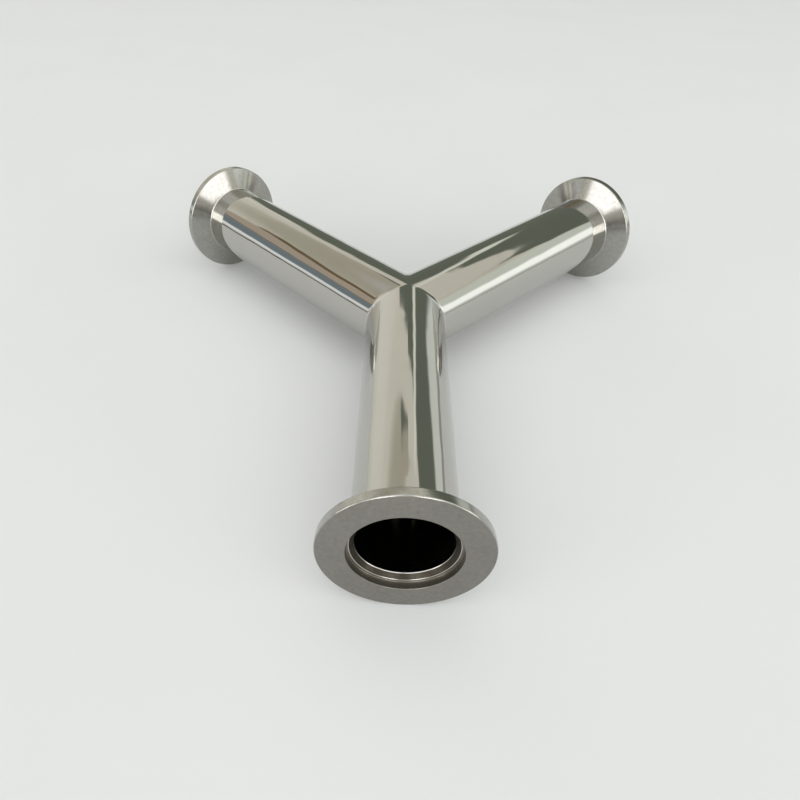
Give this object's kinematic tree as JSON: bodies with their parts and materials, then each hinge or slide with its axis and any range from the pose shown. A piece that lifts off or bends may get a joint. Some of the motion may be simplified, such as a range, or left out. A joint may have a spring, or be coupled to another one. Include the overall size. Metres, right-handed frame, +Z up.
{
  "type": "y-pattern vacuum flange tee",
  "caption": "Y-pattern vacuum tee: polished stainless tubes mitred and welded, each ending in a DN 25 clamp flange with a centring recess.",
  "frame": {"origin": "centre of the main port's sealing face, where the port's axis crosses it", "axes": "+Y from the main port into the fitting, +X towards the right branch seen from the main port, +Z up from the plane of the three centre lines"},
  "size_m": [0.175, 0.1815, 0.04],
  "materials": {
    "polished_tube": "mirror-polished stainless steel tube",
    "polished_weld": "weld metal ground and mirror-polished flush",
    "turned_flange": "stainless steel, fine-turned to a satin finish"
  },
  "bodies": {
    "root": {"main_tube": "polished_tube", "left_branch_tube": "polished_tube", "right_branch_tube": "polished_tube", "left_mitre_weld": "polished_weld", "right_mitre_weld": "polished_weld", "rear_mitre_weld": "polished_weld", "main_flange": "turned_flange", "left_branch_flange": "turned_flange", "right_branch_flange": "turned_flange"}
  },
  "joints": []
}
